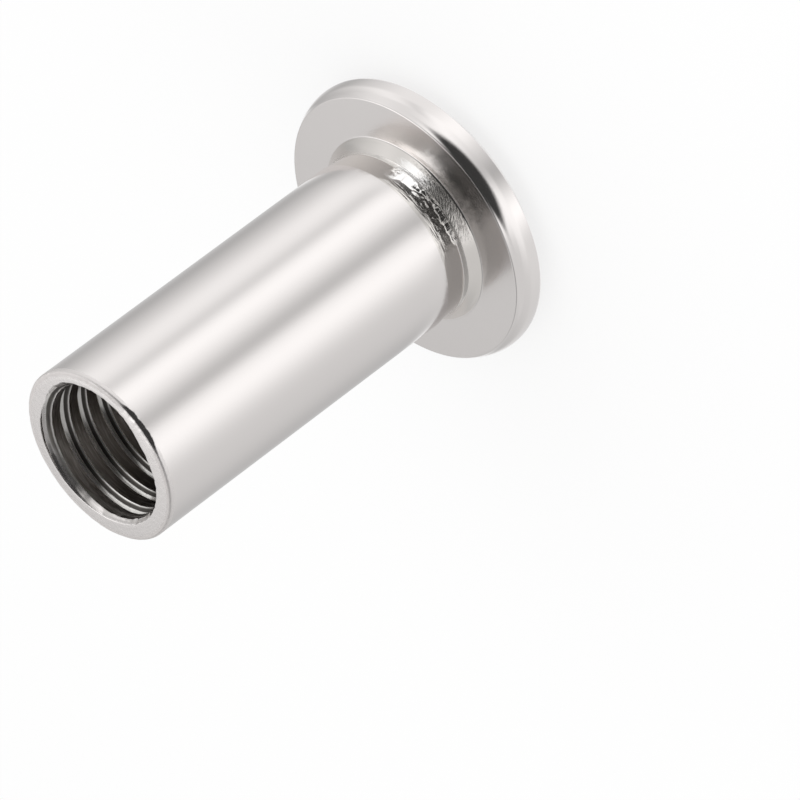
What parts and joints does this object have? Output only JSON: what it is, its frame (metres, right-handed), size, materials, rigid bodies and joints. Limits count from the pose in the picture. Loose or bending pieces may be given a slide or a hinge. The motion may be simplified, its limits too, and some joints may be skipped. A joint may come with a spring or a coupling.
{
  "type": "sleeve nut",
  "caption": "Flat-headed steel sleeve nut with a long internally threaded sleeve, a flared neck and a hex key socket in its bevelled head.",
  "frame": {"origin": "middle of the head's flat face, on which the nut stands", "axes": "+Z along the nut's axis, from the head to the open threaded end"},
  "size_m": [0.016, 0.016, 0.025],
  "materials": {
    "nickel_plate": "bright nickel plating on turned steel"
  },
  "bodies": {
    "root": {"sleeve_nut": "nickel_plate"}
  },
  "joints": []
}
